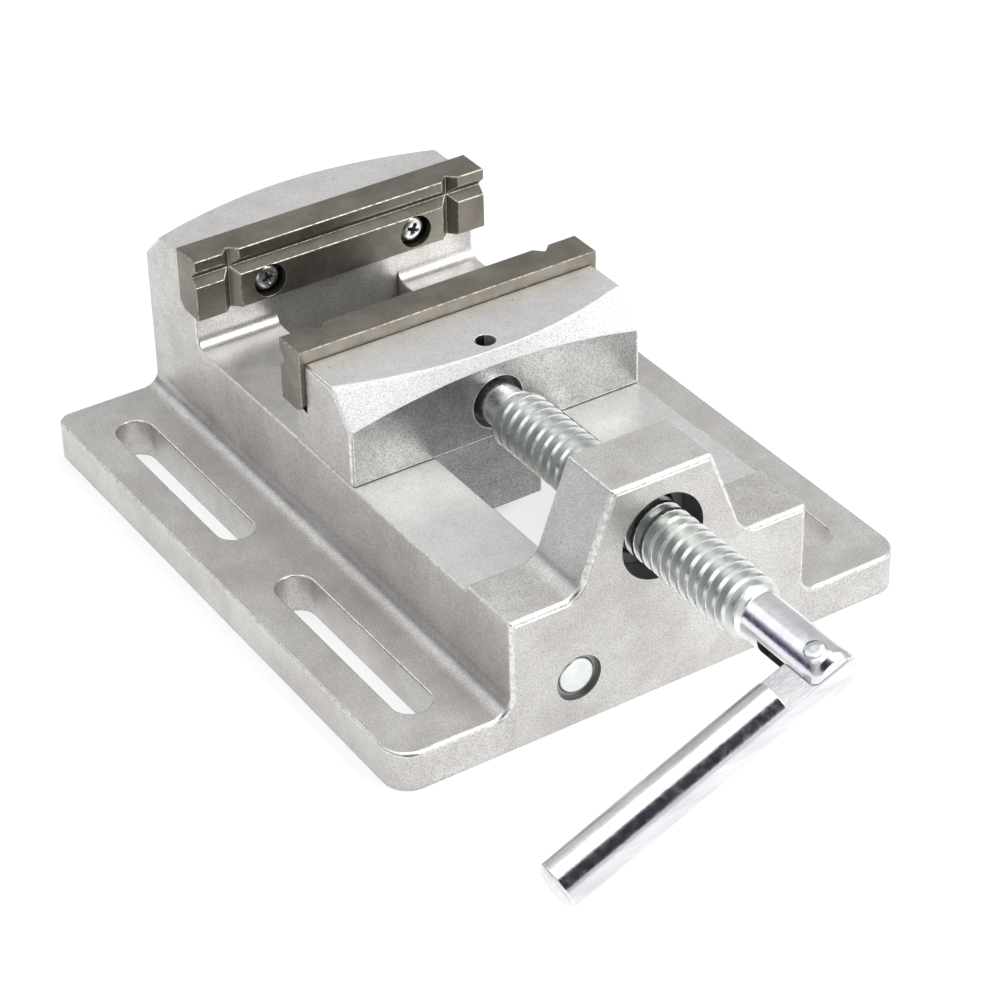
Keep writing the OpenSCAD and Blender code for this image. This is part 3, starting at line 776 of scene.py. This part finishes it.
def pan_screw(name, x, y, outward, turn):
    """A pan-head screw with a cross recess. y is the head's seat, outward +1 or -1 along Y."""
    dome = [(HEAD_R * math.cos(math.radians(a)) ** 0.45, HEAD_RIM + HEAD_DOME * math.sin(math.radians(a)))
            for a in range(0, 90, 9)]
    profile = ([(SHANK_R, -SHANK_L), (SHANK_R, 0.0), (HEAD_R - 0.3, 0.0), (HEAD_R, 0.3)] + dome
               + [(0.35, HEAD_RIM + HEAD_DOME)])
    head = lathe(name, [(r, y + outward * d) for r, d in profile], (x, 0, SCREW_Z), "Y", 48)
    a = math.radians(turn)
    cross = [(u * math.cos(a) - w * math.sin(a), u * math.sin(a) + w * math.cos(a))
             for u, w in cross_outline(CROSS_REACH, CROSS_HALF)]
    top, bottom = y + outward * 4.2, y + outward * 0.9
    tool = prism("tool", cross, top, bottom, "Y", taper=0.35)
    tool.location = Vector((x, 0, SCREW_Z)) * MM
    bpy.context.view_layer.update()
    cut(head, tool)
    return head


def screw_region(middle, normal, now):
    """The steep walls of the cross recess are painted dark, as shade in the recess."""
    steep = from_screw(middle) < CROSS_REACH + 0.05 and abs(normal.y) < 0.35
    return ON_PAINTED_SHADE if now == ON_PLAIN and steep else now


def jaw_screws(name, node, body, seat, outward, turns):
    """A plate's two screws. turns are the angles of their cross recesses, in degrees."""
    screws = [pan_screw("screw", x, seat, outward, turn) for x, turn in zip((-SCREW_X, SCREW_X), turns)]
    piece = join(name, screws)
    soften(piece, 0.05, segments=1, sharper=50)
    region_paint(piece, screw_region)
    return dress(piece, body, "zinc_screw", [ZINC, ZINC_WORN, DARK_STEEL_AND_RECESS_SHADE], node)


# ================================================================ spindle and handle
def on_handle(piece):
    """Puts a piece that was made at the pin, with the handle along -X, where the handle is."""
    tilt = Matrix.Rotation(math.radians(-HANDLE_TILT), 4, "Y")
    piece.data.transform(Matrix.Translation(Vector((0, PIN_Y, AXIS_Z)) * MM) @ tilt)
    return piece


def thread_section():
    """The trapezoid thread's cross-section, as (turn from 0 to 1, radius)."""
    crest, flank = 0.366, (THREAD_R - ROOT_R) * math.tan(math.radians(15)) / PITCH
    section = []
    corners = [(0, ROOT_R), (flank, THREAD_R - 0.12), (flank + 0.015, THREAD_R),
               (flank + crest - 0.015, THREAD_R), (flank + crest, THREAD_R - 0.12),
               (2 * flank + crest, ROOT_R), (1, ROOT_R)]
    for (t0, r0), (t1, r1) in zip(corners, corners[1:]):
        steps = max(1, round((t1 - t0) * 44))
        section += [(t0 + (t1 - t0) * i / steps, r0 + (r1 - r0) * i / steps) for i in range(steps)]
    return section


def spindle_region(middle, normal, now):
    """Crests painted bright as highlight and flanks painted dull and dark as shade along the thread, and a
    brighter plate on the clevis.
    """
    if middle.y < THREAD_BACK - THREAD_L - 0.3:
        return ON_CLEVIS
    if middle.y > THREAD_BACK or abs(normal.y) > 0.97:
        return ON_PLAIN
    # painted highlight on the crests and painted shade on the flanks
    if from_axis(middle) > THREAD_R - 0.2:
        return ON_CREST_HIGHLIGHT
    return ON_FLANK_SHADED if abs(normal.y) > 0.6 else ON_PLAIN


def spindle():
    """Clevis end, thread with run-outs, neck and nose, as one stack of rings that turn with the thread."""
    section = thread_section()
    clevis_end, front = SPINDLE_LOW.y, THREAD_BACK - THREAD_L
    rings = []

    def ring(y, radii):
        """A ring of points at y, turned by as much as the thread is there."""
        twist = min(max(y, front), THREAD_BACK) / PITCH
        rings.append([(r * math.sin(2 * math.pi * (t + twist)), y,
                       AXIS_Z + r * math.cos(2 * math.pi * (t + twist)))
                      for (t, _), r in zip(section, radii)])

    def plain(*stations):
        """Round rings at (y, radius)."""
        for y, r in stations:
            ring(y, [r] * len(section))

    # the clevis end: a rounded edge, then a plain barrel
    plain((clevis_end, CLEVIS_R - 1.5), (clevis_end + 0.25, CLEVIS_R - 1.15),
          (clevis_end + 1.3, CLEVIS_R - 0.12), (clevis_end + 1.7, CLEVIS_R))
    for i in range(1, 16):
        plain((clevis_end + 1.7 + (front - clevis_end - 2.4) * i / 15, CLEVIS_R))
    # the thread, which fades into the barrel and into the neck
    steps = round(THREAD_L / RING_STEP)
    for i in range(steps + 1):
        y = front + THREAD_L * i / steps
        near = min((y - front) / RUN_OUT, (THREAD_BACK - y) / RUN_IN, 1.0)
        fade = math.sin(near * math.pi / 2)
        end_r = CLEVIS_R if i < steps / 2 else NECK_R
        ring(y, [end_r + (r - end_r) * fade for _, r in section])
    # the neck, with the groove for the grub screw, and the nose
    plain((THREAD_BACK + 0.3, NECK_R), (GRUB_Y - 2.9, NECK_R), (GRUB_Y - 2.7, NECK_R - 0.2),
          (GRUB_Y - 2.5, GROOVE_R), (GRUB_Y + 2.5, GROOVE_R), (GRUB_Y + 2.7, NECK_R - 0.2),
          (SPINDLE_HIGH.y - 0.9, NECK_R), (SPINDLE_HIGH.y - 0.1, NECK_R - 0.8),
          (SPINDLE_HIGH.y, NECK_R - 1.2))
    solid = loft("spindle_body", rings)
    slot = block("tool", (-LONG, clevis_end - PIN_Y - 1, -HALF_CLEVIS_SLOT),
                 (LONG, CLEVIS_SLOT_END, HALF_CLEVIS_SLOT))
    hole = lathe("tool", [(PIN_HOLE_R, -LONG), (PIN_HOLE_R, LONG)])
    cut(solid, on_handle(slot), on_handle(hole))
    region_paint(solid, spindle_region)
    solid.data.polygons.foreach_set("use_smooth", [True] * len(solid.data.polygons))
    solid.data.set_sharp_from_angle(angle=math.radians(32))
    return dress(solid, "spindle", "spindle_zinc", [THREAD, CLEVIS, CREST_HIGHLIGHT, FLANK_SHADED], "spindle")


def handle_edge(middle, convex):
    """The handle's edges are rounded, except in the corners where the lug leaves the bar."""
    corner = abs(middle.x + SHOULDER_L) < 0.4 and abs(middle.z) < LUG_T / 2 + 0.9
    return 0.3 if convex and not corner else 0


def handle():
    """A round bar with a flat lug for the pin, made along -X from the pin."""
    chamfer, outside = 1.2, 12       # outside is well past the bar's surface
    profile = [(HANDLE_R, LUG_END), (HANDLE_R, chamfer - HANDLE_L), (HANDLE_R - chamfer, -HANDLE_L)]
    bar = lathe("handle_body", profile, axis="X", steps=96)
    for side in (-1, 1):
        z0, z1 = sorted((side * LUG_T / 2, side * outside))
        cut(bar, block("tool", (-SHOULDER_L, -LONG, z0), (LONG, LONG, z1)))
    cut(bar, lathe("tool", [(LUG_HOLE_R, -LONG), (LUG_HOLE_R, LONG)]))
    soften(bar, handle_edge, segments=2)
    return dress(on_handle(bar), "handle", "handle_plated", [HANDLE, ZINC_WORN], "handle_lever")


def handle_pin():
    """The pin, with low domed ends just inside the clevis."""
    half = CLEVIS_R - 0.15
    profile = [(1.2, -half - 0.1), (2.5, -half), (2.92, 0.25 - half), (PIN_R, 0.6 - half)]
    pin = lathe("pin_body", profile + [(r, -w) for r, w in reversed(profile)])
    soften(pin, 0.05, sharper=40, segments=1, worn=False)
    return dress(on_handle(pin), "spindle", "pin_steel", [ZINC], "handle_pin")


# ================================================================ guides and inner parts
def guide_rod(name, node, x):
    """A ground rod with chamfered ends."""
    r, chamfer = ROD_D / 2, 0.5
    profile = [(r - chamfer, ROD_LOW.y), (r, ROD_LOW.y + chamfer),
               (r, ROD_HIGH.y - chamfer), (r - chamfer, ROD_HIGH.y)]
    rod = lathe(name, profile, (x, 0, ROD_Z), "Y", 96)
    soften(rod, 0.12, segments=1, sharper=35, worn=False)
    return dress(rod, "base", "ground_rod", [ROD_STEEL], node)


def paint_inner(material, *nodes):
    """Gives CAD parts their material, and fine chamfers on their sharp edges."""
    for node in nodes:
        part = bpy.data.objects[node]
        for slot in part.material_slots:
            slot.material = material
        weld = part.modifiers.new("weld", "WELD")
        weld.merge_threshold = 0.002 * MM
        edges = part.modifiers.new("edges", "BEVEL")
        edges.width = CHAMFER * MM
        edges.segments = 1
        edges.angle_limit = math.radians(40)


base_casting()
moving_jaw()
jaw_plate("fixed_plate_body", "fixed_jaw_plate", "base", FIXED_PLATE_LOW.y, 1)
jaw_plate("moving_plate_body", "moving_jaw_plate", "moving_jaw", MOVING_PLATE_HIGH.y, -1)
jaw_screws("fixed_plate_screws", "fixed_jaw_screws", "base", FIXED_PLATE_LOW.y + RECESS_DEPTH, -1, (20, 68))
jaw_screws("moving_plate_screws", "moving_jaw_screws", "moving_jaw",
           MOVING_PLATE_HIGH.y - RECESS_DEPTH, 1, (35, 80))
spindle()
handle()
handle_pin()
guide_rod("rod_left", "guide_rod_left", -ROD_X)
guide_rod("rod_right", "guide_rod_right", ROD_X)
paint_inner(MILLED, "guide_carriage")
paint_inner(BRONZE, "guide_bushes")
paint_inner(DARK_STEEL_AND_RECESS_SHADE, "spindle_nut", "nut_pin", "thrust_pad")
paint_inner(BLACK_SCREW, "rod_grub_screws", "spindle_grub_screw", "carriage_screws")
paint_inner(ZINC, "carriage_washers")


# ================================================================ camera, light and floor
CAMERA_PLACE, CAMERA_AIM = (-0.39595, -0.64675, 0.52748), (0.43976511, 0.69656536, -0.56692446)
CAMERA_ROLL, SENSOR_W, LENS = -1.32, 36, 112.34

# the room, seen from the vise: its grey, then patches of (direction, inner and outer degrees, colour)
SKY_COLOUR = (0.63, 0.63, 0.63)
SKY = [((0.50, -0.70, 0.55), 18, 42, (1.5, 1.5, 1.49)),          # bright, high at the front right
       ((-0.72, 0.70, 0.05), 16, 40, (0.34, 0.34, 0.35)),        # dark, low at the back left
       ((-0.42, 0.70, 0.60), 12, 20, (1.25, 1.25, 1.25)),        # bright, high at the back left
       ((-0.70, 0.70, 0.08), 10, 17, (0.05, 0.05, 0.13)),        # nearly black, within the dark one
       ((-0.20, -0.76, 0.62), 26, 33, (0.03, 0.03, 0.045))]      # nearly black, around the viewer

# the floor, whose glow fades out below the vise so that the cavity's floor is in shade
FLOOR_HALF, FLOOR_COLOUR = 6000, (0.36, 0.36, 0.36)
SHADE_MIDDLE, SHADE_INNER, SHADE_OUTER = (0, 45, 0), 30, 52
SHADE_GLOW, FLOOR_GLOW = 0.05, 0.72


def build_camera():
    """The camera looks down at the handle end from the left."""
    forward = Vector(CAMERA_AIM)
    right = forward.cross(Vector((0, 0, 1))).normalized()
    up = right.cross(forward)
    roll = math.radians(CAMERA_ROLL)
    side = right * math.cos(roll) + up * math.sin(roll)
    above = up * math.cos(roll) - right * math.sin(roll)
    data = bpy.data.cameras.new("camera")
    data.sensor_width = SENSOR_W
    data.lens = LENS
    camera = bpy.data.objects.new("camera", data)
    x, y, z = CAMERA_PLACE
    camera.matrix_world = Matrix((
        (side.x, above.x, -forward.x, x), (side.y, above.y, -forward.y, y),
        (side.z, above.z, -forward.z, z), (0, 0, 0, 1)))
    bpy.context.scene.collection.objects.link(camera)
    bpy.context.scene.camera = camera


def softbox(name, place, aim, size, power):
    """A rectangular area light. Places and sizes are metres, and power is watts."""
    data = bpy.data.lights.new(name, "AREA")
    data.shape = "RECTANGLE"
    data.size, data.size_y = size
    data.energy = power
    lamp = bpy.data.objects.new(name, data)
    lamp.location = place
    lamp.rotation_mode = "QUATERNION"
    lamp.rotation_quaternion = (Vector(aim) - Vector(place)).to_track_quat("-Z", "Y")
    bpy.context.scene.collection.objects.link(lamp)


def sky_patch(tree, centre, inner, outer):
    """1 within inner degrees of a direction, falling smoothly to 0 at outer degrees."""
    nodes, links = tree.nodes, tree.links
    place = nodes.new("ShaderNodeTexCoord").outputs["Generated"]
    dot = nodes.new("ShaderNodeVectorMath")
    dot.operation = "DOT_PRODUCT"
    dot.inputs[1].default_value = Vector(centre).normalized()
    links.new(place, dot.inputs[0])
    ease = nodes.new("ShaderNodeMapRange")
    ease.interpolation_type = "SMOOTHSTEP"
    ease.inputs["From Min"].default_value = math.cos(math.radians(outer))
    ease.inputs["From Max"].default_value = math.cos(math.radians(inner))
    links.new(dot.outputs["Value"], ease.inputs["Value"])
    return ease.outputs["Result"]


def build_sky():
    """A world that stands for the room around the vise, for its light and its reflections."""
    world = bpy.data.worlds.new("studio")
    world.use_nodes = True
    tree = world.node_tree
    shade = None
    for centre, inner, outer, colour in SKY:
        mix = tree.nodes.new("ShaderNodeMix")
        mix.data_type = "RGBA"
        tree.links.new(sky_patch(tree, centre, inner, outer), mix.inputs["Factor"])
        if shade is None:
            mix.inputs[6].default_value = (*SKY_COLOUR, 1)
        else:
            tree.links.new(shade, mix.inputs[6])
        mix.inputs[7].default_value = (*colour, 1)
        shade = mix.outputs[2]
    background = tree.nodes["Background"]
    tree.links.new(shade, background.inputs["Color"])
    background.inputs["Strength"].default_value = 1.0
    bpy.context.scene.world = world


def build_floor():
    """A plain floor that glows evenly, apart from the shade below the vise."""
    bm = bmesh.new()
    bmesh.ops.create_grid(bm, x_segments=1, y_segments=1, size=FLOOR_HALF)
    floor = new_piece("floor", bm)
    paint = Paint("floor", FLOOR_COLOUR, roughness=0.9, metallic=0.0)
    paint.shader.inputs["Emission Color"].default_value = (1, 1, 1, 1)
    shade = paint.tree.nodes.new("ShaderNodeVectorMath")
    shade.operation = "DISTANCE"
    shade.inputs[1].default_value = Vector(SHADE_MIDDLE) * MM
    paint.link(paint.place, shade.inputs[0])
    glow = paint.spread(shade.outputs["Value"], SHADE_INNER * MM, SHADE_OUTER * MM, SHADE_GLOW, FLOOR_GLOW)
    paint.link(glow, paint.shader.inputs["Emission Strength"])
    floor.data.materials.append(paint.material)


build_camera()
build_sky()
bpy.context.scene.view_settings.view_transform = "Standard"
softbox("key", place=(0.55, -0.72, 0.95), aim=(0, 0, 0.05), size=(0.8, 0.6), power=8)
softbox("top", place=(0.0, 0.05, 1.4), aim=(0, 0, 0), size=(1.5, 1.5), power=7)
build_floor()
